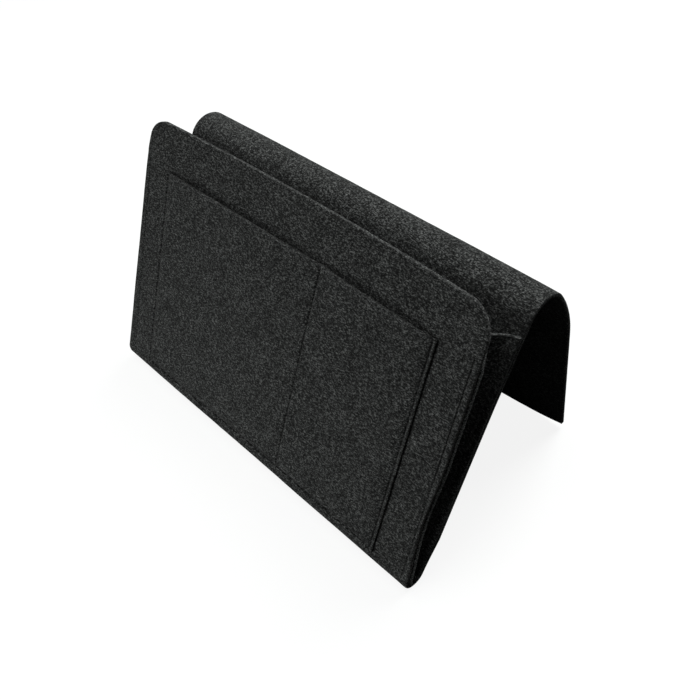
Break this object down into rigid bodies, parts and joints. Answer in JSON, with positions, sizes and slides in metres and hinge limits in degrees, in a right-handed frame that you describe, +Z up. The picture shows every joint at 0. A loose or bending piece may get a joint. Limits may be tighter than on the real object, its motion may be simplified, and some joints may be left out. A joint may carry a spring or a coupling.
{
  "type": "bedside caddy",
  "caption": "Hanging bedside caddy of thick grey felt: a gusseted pouch with flat sewn pockets on its front and a flap that folds over a ridge behind it.",
  "frame": {"origin": "centre of the bounding box, on the surface that the caddy stands on", "axes": "+X to the right along the caddy's width, +Y from the pockets towards the rear flap, +Z up"},
  "size_m": [0.323, 0.1736, 0.1922],
  "materials": {
    "felt": "charcoal heathered felt, matt, pressed smooth",
    "thread": "near-black polyester sewing thread"
  },
  "bodies": {
    "pouch": {"back_panel": "felt", "bottom_fold": "felt", "left_gusset": "felt", "right_gusset": "felt", "left_rear_gusset_seam": "thread", "right_rear_gusset_seam": "thread"},
    "front": {"front_panel": "felt", "pocket_border": "felt", "pocket_left_seam": "thread", "pocket_right_seam": "thread", "pocket_divider_seam": "thread", "pocket_bottom_seam": "thread", "left_front_gusset_seam": "thread", "right_front_gusset_seam": "thread"},
    "left_pocket": {"left_pocket_front": "felt"},
    "right_pocket": {"right_pocket_front": "felt"},
    "ridge_front": {"ridge_strip_1": "felt"},
    "ridge_rear": {"ridge_strip_2": "felt"},
    "flap": {"rear_flap": "felt"}
  },
  "joints": [
    {"name": "pouch_mouth", "type": "hinge", "parent": "pouch", "child": "front", "pos_m": [0, -0.07665, 0.0093], "axis": [1, 0, 0], "range_deg": [-7, 4], "deforming": ["left_gusset", "right_gusset"]},
    {"name": "left_pocket_mouth", "type": "hinge", "parent": "front", "child": "left_pocket", "pos_m": [0, -0.08061, 0.02228], "axis": [1, 0, 0], "range_deg": [0, 4]},
    {"name": "right_pocket_mouth", "type": "hinge", "parent": "front", "child": "right_pocket", "pos_m": [0, -0.08061, 0.02228], "axis": [1, 0, 0], "range_deg": [0, 4]},
    {"name": "ridge_front_bend", "type": "hinge", "parent": "pouch", "child": "ridge_front", "pos_m": [0, 0.0415, 0.1633], "axis": [1, 0, 0], "range_deg": [-12, 38]},
    {"name": "ridge_rear_bend", "type": "hinge", "parent": "ridge_front", "child": "ridge_rear", "pos_m": [0, 0.05334, 0.16674], "axis": [1, 0, 0], "range_deg": [-12, 38]},
    {"name": "flap_bend", "type": "hinge", "parent": "ridge_rear", "child": "flap", "pos_m": [0, 0.06475, 0.16205], "axis": [1, 0, 0], "range_deg": [-12, 38]}
  ],
  "couplings": [
    {"joint": "ridge_front_bend", "follows": "flap_bend", "ratio": 1},
    {"joint": "ridge_rear_bend", "follows": "flap_bend", "ratio": 1}
  ]
}
